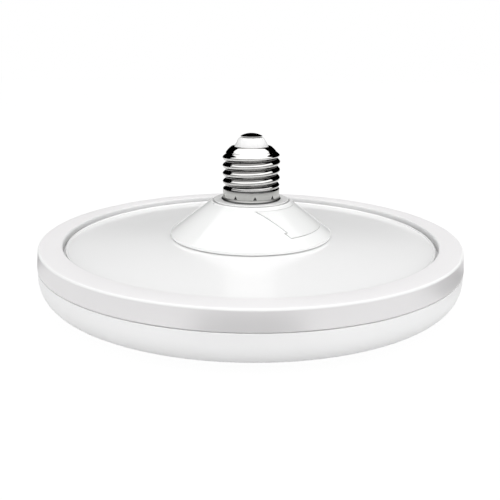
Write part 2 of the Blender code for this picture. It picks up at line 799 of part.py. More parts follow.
def build_driver_parts(materials):
    """The parts on the driver board: the big capacitor on the axis, the rest round it."""
    z = Z_BOARD_TOP + FIT
    can = materials["capacitor_sleeve"]
    moulding = materials["component_body"]
    winding = materials["winding"]
    centre = capacitor_can("input_capacitor", BIG_CAPACITOR_R, BIG_CAPACITOR_HEIGHT, can)
    place(centre, 0, 0, z)
    round_axis = [
        capacitor_can("output_capacitor", SMALL_CAPACITOR_R, SMALL_CAPACITOR_HEIGHT, can),
        laid_resistor("fuse_resistor", FUSE_RESISTOR_R, FUSE_RESISTOR_LENGTH, moulding),
        rounded_box("film_capacitor", FILM_CAPACITOR_SIZE, materials["film_capacitor"]),
        rounded_box("bridge_rectifier", RECTIFIER_SIZE, moulding),
        wound_transformer("transformer", TRANSFORMER_SIZE, winding),
        wound_choke("filter_choke", CHOKE_R, CHOKE_HEIGHT, winding),
    ]
    for k, component in enumerate(round_axis):
        turn = 2 * math.pi * (k + 0.5) / len(round_axis)
        place(component, COMPONENT_CIRCLE, NEUTRAL_ANGLE + turn, z)
    chip = rounded_box("driver_chip", CHIP_SIZE, moulding, CHIP_SIZE[2] / 5)
    place(chip, CHIP_RADIUS, PANEL_ANGLE, Z_BOARD_BOTTOM - FIT - CHIP_SIZE[2])


def smooth_route(points, steps):
    """Points on a Catmull-Rom curve through the given ones."""
    ends = [points[0] * 2 - points[1], *points, points[-1] * 2 - points[-2]]
    found = []
    for before, start, end, after in zip(ends, ends[1:], ends[2:], ends[3:]):
        for k in range(steps):
            t = k / steps
            found.append(
                0.5
                * (
                    2 * start
                    + (end - before) * t
                    + (2 * before - 5 * start + 4 * end - after) * t**2
                    + (3 * start - before - 3 * end + after) * t**3
                )
            )
    found.append(points[-1])
    return found


def lead(name, points, steps, material):
    curve = bpy.data.curves.new(name, "CURVE")
    curve.dimensions = "3D"
    curve.bevel_depth = LEAD_R
    curve.bevel_resolution = 2
    curve.use_fill_caps = True
    route = smooth_route(points, steps)
    spline = curve.splines.new("POLY")
    spline.points.add(len(route) - 1)
    for point, place_at in zip(spline.points, route):
        point.co = (*place_at, 1.0)
    curve.materials.append(material)
    made = bpy.data.objects.new(name, curve)
    bpy.context.scene.collection.objects.link(made)
    return made


def build_leads(materials):
    z_start = Z_BOARD_TOP + FIT
    z_rivet = Z_CONTACT - RIVET_LENGTH - FIT
    live = [
        polar(LEAD_CIRCLE, LIVE_ANGLE, z_start),
        polar(LEAD_CIRCLE, LIVE_ANGLE, (z_start + Z_CEILING) / 2),
        polar(LEAD_CIRCLE, LIVE_ANGLE, (Z_CEILING + Z_SPIGOT_TOP) / 2),
        polar(LEAD_CIRCLE * 0.85, LIVE_ANGLE, Z_SPIGOT_TOP - 2 * LEAD_SLOT_DEPTH),
        polar(LEAD_CIRCLE * 0.25, LIVE_ANGLE, z_rivet - 3 * LEAD_R),
        polar(0, LIVE_ANGLE, z_rivet),
    ]
    lead("live_lead", live, 4, materials["lead_brown"])
    z_slot = Z_SPIGOT_TOP - LEAD_SLOT_DEPTH / 2
    neutral = [
        polar(LEAD_CIRCLE, NEUTRAL_ANGLE, z_start),
        polar(LEAD_CIRCLE, NEUTRAL_ANGLE, (z_start + Z_CEILING) / 2),
        polar(LEAD_CIRCLE, NEUTRAL_ANGLE, (Z_CEILING + Z_SPIGOT_TOP) / 2),
        polar(LEAD_CIRCLE, NEUTRAL_ANGLE, z_slot - 7 * LEAD_R),
        polar(LEAD_CIRCLE + 2.2 * LEAD_R, NEUTRAL_ANGLE, z_slot - 1.6 * LEAD_R),
        polar(SPIGOT_BORE_R, NEUTRAL_ANGLE, z_slot),
        polar(CAP_SPIGOT_R, NEUTRAL_ANGLE, z_slot),
    ]
    lead("neutral_lead", neutral, 4, materials["lead_blue"])
    z_end = Z_LED_BOARD_BOTTOM - FIT - LEAD_R
    for name, side in (("led_positive_lead", 1), ("led_negative_lead", -1)):
        angle = math.pi / 2 + side * math.pi / 2
        route = [
            polar(LED_LEAD_CIRCLE, angle, Z_BOARD_BOTTOM - FIT),
            polar(LED_LEAD_CIRCLE, angle, (Z_BOARD_BOTTOM + Z_LED_BOARD_BOTTOM) / 2),
            polar(LED_LEAD_CIRCLE, angle, Z_LED_BOARD_BOTTOM),
            polar(LED_LEAD_CIRCLE + 2 * LEAD_R, angle, z_end - 2 * LEAD_R),
            polar((WIRE_HOLE_R + LED_PAD_CIRCLE) / 2, angle, z_end - LEAD_R),
            polar(LED_PAD_CIRCLE, angle, z_end),
        ]
        material = materials["lead_red"] if side > 0 else materials["lead_black"]
        lead(name, route, 4, material)


def build_screw(name, shank_r, length, position, material):
    """A pan-head screw, head down, its shank standing up from position."""
    head_r = shank_r * HEAD_OVER_SHANK
    head_h = 2 * shank_r * HEAD_HEIGHT_SHARE
    tip = shank_r
    outline = [
        (0, -head_h),
        (head_r * 0.72, -head_h),
        (head_r, -head_h * 0.55),
        (head_r, 0),
        (shank_r, 0),
        (shank_r, length - tip),
        (shank_r * 0.4, length),
        (0, length),
    ]
    screw = turned(name, outline, SCREW_SEGMENTS, material)
    screw.location = position
    bm = bmesh.new()
    bmesh.ops.create_cube(bm, size=1.0)
    size = (head_r * 1.1, shank_r * 0.4, head_h * 0.9)
    bmesh.ops.scale(bm, vec=size, verts=bm.verts)
    slot = make_cutter(f"{name}_slot", bm)
    slot.location = position - Vector((0, 0, head_h))
    add_boolean(screw, slot, "DIFFERENCE")
    return screw


def build_screws(material):
    neck_length = Z_NECK_BASE - Z_LED_BOARD_BOTTOM + FIT + NECK_SCREW_BITE
    board_length = DRIVER_BOARD_WALL + 2 * FIT + BOARD_SCREW_BITE
    for k, angle in enumerate(NECK_BOSS_ANGLES):
        seat = polar(NECK_BOSS_CIRCLE, angle, Z_LED_BOARD_BOTTOM - FIT)
        build_screw(f"neck_screw_{k + 1}", NECK_SCREW_R, neck_length, seat, material)
    for k, angle in enumerate(BOARD_POST_ANGLES):
        seat = polar(BOARD_POST_CIRCLE, angle, Z_BOARD_BOTTOM - FIT)
        build_screw(f"board_screw_{k + 1}", BOARD_SCREW_R, board_length, seat, material)


def make_materials():
    """Colours in linear light, with roughness and metallic values."""
    return {
        "white_gloss": make_material("white_gloss", (0.86, 0.86, 0.85), 0.22),
        "panel_gloss": make_material("panel_gloss", (0.82, 0.82, 0.82), 0.25),
        "rim_satin": make_material("rim_satin", (0.80, 0.79, 0.80), 0.35),
        "plate_paint": make_material("plate_paint", (0.80, 0.80, 0.80), 0.20),
        "milky": make_material("milky", (0.88, 0.88, 0.87), 0.40),
        "nickel": make_material("nickel", (0.75, 0.74, 0.71), 0.12, 1.0),
        "insulator": make_material("insulator", (0.90, 0.90, 0.90), 0.30),
        "led_board": make_material("led_board", (0.85, 0.85, 0.83), 0.45),
        "circuit_board": make_material("circuit_board", (0.05, 0.22, 0.09), 0.45),
        "capacitor_sleeve": make_material("capacitor_sleeve", (0.03, 0.03, 0.04), 0.40),
        "component_body": make_material("component_body", (0.04, 0.04, 0.04), 0.55),
        "winding": make_material("winding", (0.42, 0.17, 0.06), 0.40),
        "film_capacitor": make_material("film_capacitor", (0.55, 0.10, 0.04), 0.45),
        "lead_brown": make_material("lead_brown", (0.18, 0.07, 0.03), 0.45),
        "lead_blue": make_material("lead_blue", (0.03, 0.10, 0.45), 0.45),
        "lead_red": make_material("lead_red", (0.50, 0.02, 0.02), 0.45),
        "lead_black": make_material("lead_black", (0.02, 0.02, 0.02), 0.45),
        "screw_steel": make_material("screw_steel", (0.55, 0.55, 0.54), 0.35, 1.0),
    }


def build_lamp():
    clear_scene()
    materials = make_materials()
    build_rim_ring(materials["rim_satin"])
    build_back_plate(materials["plate_paint"])
    build_diffuser(materials["milky"])
    build_neck_housing(materials["white_gloss"])
    build_side_panel(materials["panel_gloss"])
    build_screw_shell(materials["nickel"])
    build_insulator(materials["insulator"])
    build_contact(materials["nickel"])
    build_led_board(materials["led_board"])
    build_driver_board(materials["circuit_board"])
    build_driver_parts(materials)
    build_leads(materials)
    build_screws(materials["screw_steel"])


build_lamp()
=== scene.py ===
"""Dresses the LED disc lamp: finely turned pieces, their finishes, a white studio and the camera.

+Z up, with the lamp standing on its diffuser. Shapes are written in millimetres and made in metres.
"""

import json
import math

import bmesh
import bpy
from mathutils import Matrix, Vector

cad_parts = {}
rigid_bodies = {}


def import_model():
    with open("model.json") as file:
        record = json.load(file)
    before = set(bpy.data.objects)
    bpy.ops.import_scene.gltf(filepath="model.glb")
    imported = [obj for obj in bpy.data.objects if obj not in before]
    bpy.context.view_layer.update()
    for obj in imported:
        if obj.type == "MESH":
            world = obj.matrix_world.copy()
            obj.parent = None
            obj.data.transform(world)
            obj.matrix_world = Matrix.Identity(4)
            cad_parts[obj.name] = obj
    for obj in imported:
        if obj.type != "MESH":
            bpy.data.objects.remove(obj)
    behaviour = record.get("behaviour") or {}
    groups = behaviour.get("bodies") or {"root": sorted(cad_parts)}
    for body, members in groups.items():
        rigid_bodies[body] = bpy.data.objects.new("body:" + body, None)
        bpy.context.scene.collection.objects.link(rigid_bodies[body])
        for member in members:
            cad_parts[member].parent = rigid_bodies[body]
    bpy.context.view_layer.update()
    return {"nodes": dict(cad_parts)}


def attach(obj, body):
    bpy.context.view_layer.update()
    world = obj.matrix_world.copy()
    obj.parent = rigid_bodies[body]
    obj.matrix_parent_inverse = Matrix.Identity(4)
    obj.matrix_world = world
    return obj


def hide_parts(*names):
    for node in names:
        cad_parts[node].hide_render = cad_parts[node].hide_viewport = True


MM = 0.001
DISC_SEGMENTS = 192
NECK_SEGMENTS = 160
SHELL_SEGMENTS = 240
SMALL_SEGMENTS = 96

# Places that several pieces share, in millimetres
RING_TOP = 24.605
RING_R = 96.0
RING_BORE_R = 93.9
RING_BOTTOM = 16.405
HOLE_R = 85.1
HEM_R = 86.6
SNAP_HEIGHT = 17.455
SNAP = 0.6
PLATE_TOP = 24.305
PLATE_UNDER = 21.750
FLANGE_TOP = 20.305
FLANGE_UNDER = 19.105
FLANGE_R = 93.3
SPIGOT_R = 93.6
BOWL_WALL = 1.5
STANDING_R = 58
DOME_R = 158.8
DOME_TURN = 12
NECK_BASE = 24.605
NECK_WALL = 2.6
CONE_FOOT = 25.905
CONE_TOP = 40.505
CONE_BASE_R = 37.3
CONE_TOP_R = 18.0
GROOVE_DEPTH = 0.6
GROOVE_R = 16.2
LAND_R = 12.25
LEAD_WELL_R = 9.0
CAP = 41.305
SKIRT_TOP = 45.905
SHOULDER = 60.905
MOUTH = 65.205
INSULATOR_TOP = 69.005
INSULATOR_FOOT_R = 7.65
CONTACT = 69.305
CONTACT_EDGE = 69.705
CONTACT_TOP = 70.905
CONTACT_R = 4.9
RIVET_R = 1.2
FIT = 0.3

# Screw cap
CREST_R = 13.15
ROOT_R = 11.95
PITCH = 3.629
RUN_OUT = 2.0
FIRST_CREST = 18.65
GROOVE = 0.2
ROOT_SOFTNESS = 0.06
SKIRT_R = 12.95
FLARE = 0.7
FLARE_HEIGHT = 1.3
SHOULDER_HEIGHT = 4.3
MOUTH_R = 8.35
LIP = 0.75
LIP_HEIGHT = 0.2
SHELL_WALL = 0.4
PUNCHES = 9
PUNCH_TURN = math.radians(-82)
PUNCH_HEIGHT = 43.15
PUNCH_TIP_R = 0.3
PUNCH_MOUTH_R = 2.0
PUNCH_DEPTH = 0.6

# Side panel of the neck
PANEL_ANGLE = math.radians(-23.2)
PANEL_TOP_R = 19.7
PANEL_FOOT_R = 32.3
PANEL_HALF_WIDTH = 17.0
PANEL_WIDENING = 1.2
PANEL_STEP_R = 30.1
PANEL_WALL = 1.2
LEFT_SEAM = 0.5
RIGHT_SEAM = 0.12
FOOT_SEAM = 0.45
TOP_SEAM = 0.06
CONE_SLOPE = math.atan2(CONE_TOP - CONE_FOOT, CONE_BASE_R - CONE_TOP_R)

# Slot at the end of the collar's groove: along the radius, across it and in depth
NOTCH_TURN = math.radians(-155)
NOTCH_R = 17.8
NOTCH_HEIGHT = 39.2
NOTCH_SIZE = (2.0, 1.1, 5.0)

# Slot for the neutral lead, in the wall behind the shell
LEAD_SLOT_R = 11.1
LEAD_SLOT_SIZE = (6.8, 1.8, 4.4)

# Screws, bosses and posts inside the neck
BOSS_CIRCLE = 30.11
BOSS_R = 3.0
SCREW_HOLE_R = 1.55
SCREW_DEPTH = 3.8
POST_CIRCLE = 21.91
POST_R = 2.2
POST_FOOT = 28.705
POST_HOLE_R = 1.1
POST_SCREW_DEPTH = 3.295
BOSS_ANGLES = [PANEL_ANGLE + math.radians(60 + 120 * k) for k in range(3)]
POST_ANGLES = [PANEL_ANGLE + math.radians(120 * k) for k in range(3)]


# Modelling


def clear_selection():
    bpy.ops.object.select_all(action="DESELECT")


def open_edit(piece):
    bpy.context.view_layer.objects.active = piece
    bpy.ops.object.mode_set(mode="EDIT")


def close_edit():
    bpy.ops.object.mode_set(mode="OBJECT")


def draw_ring(radius, height, change_r, change_h):
    """Extrudes the selected ring to its next place on the outline."""
    bpy.ops.mesh.extrude_region_move(TRANSFORM_OT_translate={"value": (0, 0, change_h * MM)})
    if change_r:
        scale = (radius + change_r) / radius
        centre = (0, 0, (height + change_h) * MM)
        bpy.ops.transform.resize(value=(scale, scale, 1), center_override=centre)


def turn_piece(name, outline, segments, around=(0, 0)):
    """A ring drawn out along an outline of (radius, height) points.

    An outline that starts or ends on the axis is closed there, and otherwise its ends are joined.
    """
    clear_selection()
    from_axis = outline[0][0] == 0
    to_axis = outline[-1][0] == 0
    rings = [point for point in outline if point[0] > 0]
    radius, height = rings[0]
    bpy.ops.mesh.primitive_circle_add(
        vertices=segments,
        radius=radius * MM,
        location=(0, 0, height * MM),
        fill_type="TRIFAN" if from_axis else "NOTHING",
    )
    piece = bpy.context.object
    piece.name = name
    bpy.ops.object.transform_apply(location=True)
    open_edit(piece)
    if from_axis:
        bpy.ops.mesh.select_all(action="DESELECT")
        bpy.ops.mesh.select_non_manifold(use_wire=False, use_multi_face=False)
    for next_radius, next_height in rings[1:]:
        draw_ring(radius, height, next_radius - radius, next_height - height)
        radius, height = next_radius, next_height
    if to_axis:
        bpy.ops.mesh.extrude_region_move(TRANSFORM_OT_translate={"value": (0, 0, 0)})
        bpy.ops.mesh.merge(type="CENTER")
    if not from_axis and not to_axis:
        bpy.ops.mesh.select_all(action="DESELECT")
        bpy.ops.mesh.select_non_manifold(use_wire=False, use_multi_face=False)
        bpy.ops.mesh.bridge_edge_loops()
    bpy.ops.mesh.select_all(action="SELECT")
    if around != (0, 0):
        bpy.ops.transform.translate(value=(around[0] * MM, around[1] * MM, 0))
    bpy.ops.mesh.normals_make_consistent(inside=False)
    close_edit()
    return piece


def apply_modifier(piece, kind, **settings):
    modifier = piece.modifiers.new(kind.lower(), kind)
    for key, value in settings.items():
        setattr(modifier, key, value)
    clear_selection()
    piece.select_set(True)
    bpy.context.view_layer.objects.active = piece
    bpy.ops.object.modifier_apply(modifier=modifier.name)


def round_edges(piece, width, steps=3, angle=40):
    """Rounds the edges that are sharper than the angle."""
    apply_modifier(
        piece,
        "BEVEL",
        width=width * MM,
        segments=steps,
        limit_method="ANGLE",
        angle_limit=math.radians(angle),
        miter_outer="MITER_ARC",
    )


def cut_away(piece, cutter):
    apply_modifier(piece, "BOOLEAN", operation="DIFFERENCE", object=cutter, solver="EXACT")
    bpy.data.objects.remove(cutter)


def shade(piece, angle=32):
    clear_selection()
    piece.select_set(True)
    bpy.context.view_layer.objects.active = piece
    bpy.ops.object.shade_smooth_by_angle(angle=math.radians(angle))


def arc(centre_r, centre_h, width, drop, start, end, steps):
    """Points of an elliptical corner, its angles in degrees."""
    found = []
    for k in range(steps + 1):
        turn = math.radians(start + (end - start) * k / steps)
        found.append((centre_r + width * math.cos(turn), centre_h + drop * math.sin(turn)))
    return found


def posts(name, circle, angles, radius, low, high):
    """Upright pins on a circle, joined in one cutter."""
    made = []
    for k, turn in enumerate(angles):
        around = (circle * math.cos(turn), circle * math.sin(turn))
        outline = [(0, low), (radius, low), (radius, high), (0, high)]
        made.append(turn_piece(f"{name}_{k}", outline, 32, around))
    clear_selection()
    for piece in made:
        piece.select_set(True)
    bpy.context.view_layer.objects.active = made[0]
    bpy.ops.object.join()
    return made[0]


def join_lamp(piece, slot, *nodes):
    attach(piece, "root")
    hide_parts(*nodes)


# Pieces


def snap_profile(radius):
    """The diffuser's snap ridge, or the ring's groove for it, from top to bottom."""
    return [
        (radius, SNAP_HEIGHT + SNAP),
        (radius + SNAP, SNAP_HEIGHT),
        (radius, SNAP_HEIGHT - SNAP),
    ]


def model_ring():
    bottom_edge, top_edge = 0.3, 1.0
    under = RING_TOP - 1.8
    outline = [(RING_BORE_R, RING_BOTTOM), (RING_R - bottom_edge, RING_BOTTOM)]
    outline.append((RING_R, RING_BOTTOM + bottom_edge))
    outline += arc(94.25, RING_TOP - top_edge, top_edge, top_edge, 0, 90, 8)
    outline += [
        (HOLE_R + bottom_edge, RING_TOP),
        (HOLE_R, RING_TOP - bottom_edge),
        (HOLE_R, FLANGE_TOP + FIT),
        (HEM_R, FLANGE_TOP + FIT),
        (HEM_R, under),
        (RING_BORE_R, under),
    ]
    outline += snap_profile(RING_BORE_R)
    ring = turn_piece("rim_band", outline, DISC_SEGMENTS)
    round_edges(ring, 0.10, 2)
    shade(ring)
    join_lamp(ring, "ring_white", "rim_ring")
    return ring


def model_plate():
    wire_hole_r, skirt_r, seat_r = 5.5, 82.9, 66.0
    outline = [(wire_hole_r, PLATE_UNDER), (wire_hole_r, PLATE_TOP), (CONE_BASE_R, PLATE_TOP)]
    outline += [(52.8, 23.573), (68.3, 22.841)]
    outline += [(82.8, 22.157), (83.0, 22.460)] + arc(83.55, 22.20, 0.35, 0.36, 100, 0, 5)
    outline += [
        (83.9, FLANGE_TOP),
        (FLANGE_R, FLANGE_TOP),
        (FLANGE_R, FLANGE_UNDER),
        (skirt_r, FLANGE_UNDER),
        (skirt_r, 20.850),
        (seat_r, PLATE_UNDER),
    ]
    plate = turn_piece("glossy_plate", outline, DISC_SEGMENTS)
    cut_away(plate, posts("plate_holes", BOSS_CIRCLE, BOSS_ANGLES, SCREW_HOLE_R, 20.0, 26.0))
    shade(plate)
    join_lamp(plate, "plate_paint", "back_plate")
    return plate


def shallow_dome(lift, steps):
    """The bowl's underside from its shoulder down to the flat that it stands on."""
    found = []
    for k in range(1, steps + 1):
        turn = math.radians(DOME_TURN * (1 - k / steps))
        out = STANDING_R + DOME_R * math.sin(turn)
        found.append((out, lift + DOME_R * (1 - math.cos(turn))))
    return found


def model_diffuser():
    spigot_top = FLANGE_UNDER - FIT
    lip = RING_BOTTOM - FIT
    shoulder_r, shoulder, low_turn = 90.4, 12.305, -83.06
    outline = [(SPIGOT_R - BOWL_WALL, spigot_top), (SPIGOT_R, spigot_top)]
    outline += snap_profile(SPIGOT_R)
    outline += [(SPIGOT_R, lip), (95.75, lip), (95.95, lip - 0.2)]
    outline += arc(shoulder_r, shoulder, 5.55, 8.9, 0, low_turn, 20)
    outline += shallow_dome(0, 12)
    outline = [(0, 0)] + list(reversed(outline))
    outline += [(SPIGOT_R - BOWL_WALL, 14.605), (94.0, 13.105)]
    outline += arc(shoulder_r, shoulder, 3.6, 7.4, 0, low_turn, 12)
    outline += shallow_dome(BOWL_WALL, 6)
    outline.append((0, BOWL_WALL))
    bowl = turn_piece("milky_bowl", outline, DISC_SEGMENTS)
    shade(bowl)
    join_lamp(bowl, "diffuser_milky", "diffuser")
    return bowl


def cone_height(radius):
    return CONE_FOOT + (CONE_BASE_R - radius) * math.tan(CONE_SLOPE)


def panel_patch(name, left, right, foot, top, above, thickness):
    """A patch of the cone with some thickness, each of its sides moved out.

    The gap at its foot narrows from left to right.
    """
    step_r = PANEL_STEP_R - foot / 2
    top_r = PANEL_TOP_R - top
    wide = PANEL_HALF_WIDTH + PANEL_WIDENING
    rows = [(top_r + (step_r - top_r) * k / 10, PANEL_HALF_WIDTH) for k in range(11)]
    rows += [(step_r + 0.2, wide), (PANEL_FOOT_R, wide)]
    last = len(rows) - 1
    columns = 48
    clear_selection()
    bpy.ops.mesh.primitive_grid_add(x_subdivisions=columns, y_subdivisions=last, size=2)
    patch = bpy.context.object
    patch.name = name
    for vertex in patch.data.vertices:
        across = vertex.co.x
        row = round((1 - vertex.co.y) / 2 * last)
        radius, half_width = rows[row]
        half_width += left if across < 0 else right
        if row == last:
            radius += foot * max(0.25 - 0.75 * across, 0.1)
        turn = PANEL_ANGLE + across * math.asin(min(half_width / radius, 0.985))
        lifted = radius + above * math.sin(CONE_SLOPE)
        height = cone_height(radius) + above * math.cos(CONE_SLOPE)
        vertex.co = Vector((lifted * math.cos(turn), lifted * math.sin(turn), height)) * MM
    open_edit(patch)
    bpy.ops.mesh.select_all(action="SELECT")
    bpy.ops.mesh.normals_make_consistent(inside=False)
    close_edit()
    if sum(face.normal.z for face in patch.data.polygons) < 0:
        patch.data.flip_normals()
    apply_modifier(patch, "SOLIDIFY", thickness=thickness * MM, offset=-1)
    return patch


def model_neck():
    outline = [(0, NECK_BASE), (37.1, NECK_BASE), (CONE_BASE_R, NECK_BASE + 0.2)]
    outline += [(CONE_BASE_R, CONE_FOOT), (34.0, cone_height(34.0)), (30.0, cone_height(30.0))]
    outline += [(26.0, cone_height(26.0)), (22.0, cone_height(22.0)), (CONE_TOP_R, CONE_TOP)]
    groove_floor = CONE_TOP - GROOVE_DEPTH
    outline += [(17.9, CONE_TOP), (17.6, groove_floor), (GROOVE_R, groove_floor)]
    outline += [(GROOVE_R, 40.635)] + arc(16.8, 40.820, 0.4, 0.185, -90, 90, 8)
    outline += [(LAND_R, CAP - FIT), (LAND_R, CAP + 3.0), (LAND_R - 1.0, CAP + 4.0)]
    outline += [(LAND_R - 1.0, SHOULDER), (0, SHOULDER)]
    neck = turn_piece("white_neck", outline, NECK_SEGMENTS)
    hollow_r = CONE_BASE_R + (CONE_FOOT - NECK_BASE) / math.tan(CONE_SLOPE)
    hollow_r -= NECK_WALL / math.sin(CONE_SLOPE)
    ceiling = CONE_TOP - NECK_WALL
    ceiling_r = hollow_r - (ceiling - NECK_BASE) / math.tan(CONE_SLOPE)
    hollow_outline = [(0, 22.0), (hollow_r, 22.0), (hollow_r, NECK_BASE)]
    hollow_outline += [(ceiling_r, ceiling), (LEAD_WELL_R, ceiling)]
    hollow_outline += [(LEAD_WELL_R, 63.5), (0, 63.5)]
    hollow = turn_piece("hollow", hollow_outline, NECK_SEGMENTS)
    cut_away(hollow, posts("bosses", BOSS_CIRCLE, BOSS_ANGLES, BOSS_R, 20.0, CONE_TOP))
    cut_away(hollow, posts("board_posts", POST_CIRCLE, POST_ANGLES, POST_R, POST_FOOT, CONE_TOP))
    cut_away(neck, hollow)
    pilot_end = NECK_BASE + SCREW_DEPTH
    cut_away(neck, posts("pilots", BOSS_CIRCLE, BOSS_ANGLES, SCREW_HOLE_R, 20.0, pilot_end))
    post_end = POST_FOOT + POST_SCREW_DEPTH
    cut_away(neck, posts("post_pilots", POST_CIRCLE, POST_ANGLES, POST_HOLE_R, 26.0, post_end))
    depth = PANEL_WALL + FIT + 1.0
    seams = LEFT_SEAM, RIGHT_SEAM, FOOT_SEAM, TOP_SEAM
    cut_away(neck, panel_patch("pocket", *seams, 1.0, depth))
    cut_away(neck, collar_notch())
    cut_away(neck, lead_slot())
    shade(neck)
    join_lamp(neck, "neck_white", "neck_housing")
    return neck


def collar_notch():
    """A small slot at the left end of the collar's groove."""
    clear_selection()
    bpy.ops.mesh.primitive_cube_add(size=1)
    notch = bpy.context.object
    size = Matrix.Diagonal((*(side * MM for side in NOTCH_SIZE), 1))
    out = Matrix.Translation((NOTCH_R * MM, 0, NOTCH_HEIGHT * MM))
    notch.data.transform(Matrix.Rotation(NOTCH_TURN, 4, "Z") @ out @ size)
    return notch


def lead_slot():
    clear_selection()
    bpy.ops.mesh.primitive_cube_add(size=1, location=(LEAD_SLOT_R * MM, 0, SHOULDER * MM))
    slot = bpy.context.object
    slot.scale = [side * MM for side in LEAD_SLOT_SIZE]
    return slot


def model_panel():
    panel = panel_patch("side_panel", 0, 0, 0, 0, 0, PANEL_WALL)
    round_edges(panel, 0.10, 2, 60)
    shade(panel)
    join_lamp(panel, "panel_white", "neck_side_panel")
    return panel


def ease(value, low, high):
    """0 below low, 1 above high, and a smooth rise between."""
    share = min(max((value - low) / (high - low), 0), 1)
    return share * share * (3 - 2 * share)


def shoulder_radius(height):
    if height > MOUTH - LIP_HEIGHT:
        return MOUTH_R + LIP * (MOUTH - height) / LIP_HEIGHT
    share = max((height - SHOULDER) / (SHOULDER_HEIGHT - LIP_HEIGHT), 0)
    return ROOT_R - (ROOT_R - MOUTH_R - LIP) * share**1.9


def shell_radius(height, turn):
    """The rolled shell: skirt, right-hand thread of round crests, then the rounded shoulder."""
    if height <= SKIRT_TOP:
        return SKIRT_R + FLARE * max(1 - (height - CAP) / FLARE_HEIGHT, 0) ** 2
    drop = ease(height, SKIRT_TOP, SKIRT_TOP + RUN_OUT / 2)
    root = SKIRT_R + (shoulder_radius(height) - SKIRT_R) * drop
    into = ease(height, SKIRT_TOP, SKIRT_TOP + RUN_OUT)
    out = ease(height, SHOULDER, SHOULDER + RUN_OUT)
    turns = (height - CAP - FIRST_CREST) / PITCH - (turn - math.pi) / (2 * math.pi)
    ridge = math.sqrt((1 + math.cos(2 * math.pi * turns)) / 2 + ROOT_SOFTNESS)
    low, high = math.sqrt(ROOT_SOFTNESS), math.sqrt(1 + ROOT_SOFTNESS)
    ridge = (ridge - low) / (high - low)
    return root + ((CREST_R - ROOT_R + GROOVE) * ridge - GROOVE) * into * (1 - out)


def model_shell():
    heights = [CAP + FLARE_HEIGHT * k / 6 for k in range(7)]
    heights += [CAP + 2.2, CAP + 3.2, SKIRT_TOP]
    rows = 130
    top = SHOULDER + RUN_OUT
    heights += [SKIRT_TOP + (top - SKIRT_TOP) * (k + 1) / rows for k in range(rows)]
    heights += [top + (MOUTH - LIP_HEIGHT - top) * (k + 1) / 10 for k in range(10)]
    heights.append(MOUTH)
    clear_selection()
    bpy.ops.mesh.primitive_circle_add(
        vertices=SHELL_SEGMENTS, radius=SKIRT_R * MM, location=(0, 0, CAP * MM)
    )
    shell = bpy.context.object
    shell.name = "rolled_shell"
    bpy.ops.object.transform_apply(location=True)
    open_edit(shell)
    for low, high in zip(heights, heights[1:]):
        draw_ring(SKIRT_R, low, 0, high - low)
    close_edit()
    for vertex in shell.data.vertices:
        turn = math.atan2(vertex.co.y, vertex.co.x) % (2 * math.pi)
        radius = shell_radius(vertex.co.z / MM, turn)
        vertex.co.x = radius * MM * math.cos(turn)
        vertex.co.y = radius * MM * math.sin(turn)
    open_edit(shell)
    bpy.ops.mesh.select_all(action="SELECT")
    bpy.ops.mesh.normals_make_consistent(inside=False)
    close_edit()
    if sum(face.normal.dot(face.center) for face in shell.data.polygons) < 0:
        shell.data.flip_normals()
    apply_modifier(shell, "SOLIDIFY", thickness=SHELL_WALL * MM, offset=-1)
    cut_away(shell, punch_marks())
    shade(shell)
    join_lamp(shell, "shell_nickel", "screw_shell")
    return shell


def punch_marks():
    """Small three-sided punches round the skirt, joined in one cutter."""
    made = []
    for k in range(PUNCHES):
        turn = PUNCH_TURN + 2 * math.pi * k / PUNCHES
        clear_selection()
        bpy.ops.mesh.primitive_cone_add(
            vertices=3,
            radius1=PUNCH_TIP_R * MM,
            radius2=PUNCH_MOUTH_R * MM,
            depth=PUNCH_DEPTH * MM,
        )
        punch = bpy.context.object
        upright = Matrix.Rotation(math.pi / 2, 4, "Y") @ Matrix.Rotation(math.pi / 2, 4, "Z")
        spin = Matrix.Rotation(turn, 4, "Z")
        out = Matrix.Translation((SKIRT_R * MM, 0, PUNCH_HEIGHT * MM))
        punch.data.transform(spin @ out @ upright)
        made.append(punch)
    clear_selection()
    for punch in made:
        punch.select_set(True)
    bpy.context.view_layer.objects.active = made[0]
    bpy.ops.object.join()
    return made[0]


def model_insulator():
    low = SHOULDER + FIT
    under_mouth = MOUTH - 2 * FIT
    outline = []
    for k in range(8):
        height = low + (under_mouth - low) * k / 8
        outline.append((shoulder_radius(height) - SHELL_WALL - 2 * FIT, height))
    outline += [(INSULATOR_FOOT_R, under_mouth), (INSULATOR_FOOT_R, MOUTH)]
    outline += [(5.95, 68.281), (5.74, 68.66), (5.5, 68.88), (5.15, INSULATOR_TOP)]
    outline += [(1.5, INSULATOR_TOP), (1.5, 66.105), (4.95, 64.38), (4.95, low)]
    collar = turn_piece("white_insulator", outline, SMALL_SEGMENTS)
    shade(collar)
    join_lamp(collar, "insulator_white", "cap_insulator")
    return collar


def model_contact():
    rivet_end = 65.705
    outline = [(0, rivet_end), (RIVET_R, rivet_end), (RIVET_R, CONTACT)]
    outline += [(CONTACT_R - 0.1, CONTACT), (CONTACT_R, CONTACT + 0.1), (CONTACT_R, CONTACT_EDGE)]
    rise = CONTACT_TOP - CONTACT_EDGE
    dome_r = CONTACT_R**2 / (2 * rise) + rise / 2
    steps = 14
    for k in range(1, steps):
        turn = math.asin(CONTACT_R / dome_r) * (1 - k / steps)
        outline.append((dome_r * math.sin(turn), CONTACT_TOP - dome_r * (1 - math.cos(turn))))
    outline.append((0, CONTACT_TOP))
    disc = turn_piece("contact_disc", outline, SMALL_SEGMENTS)
    shade(disc)
    join_lamp(disc, "contact_nickel", "centre_contact")
    return disc


# Finishes


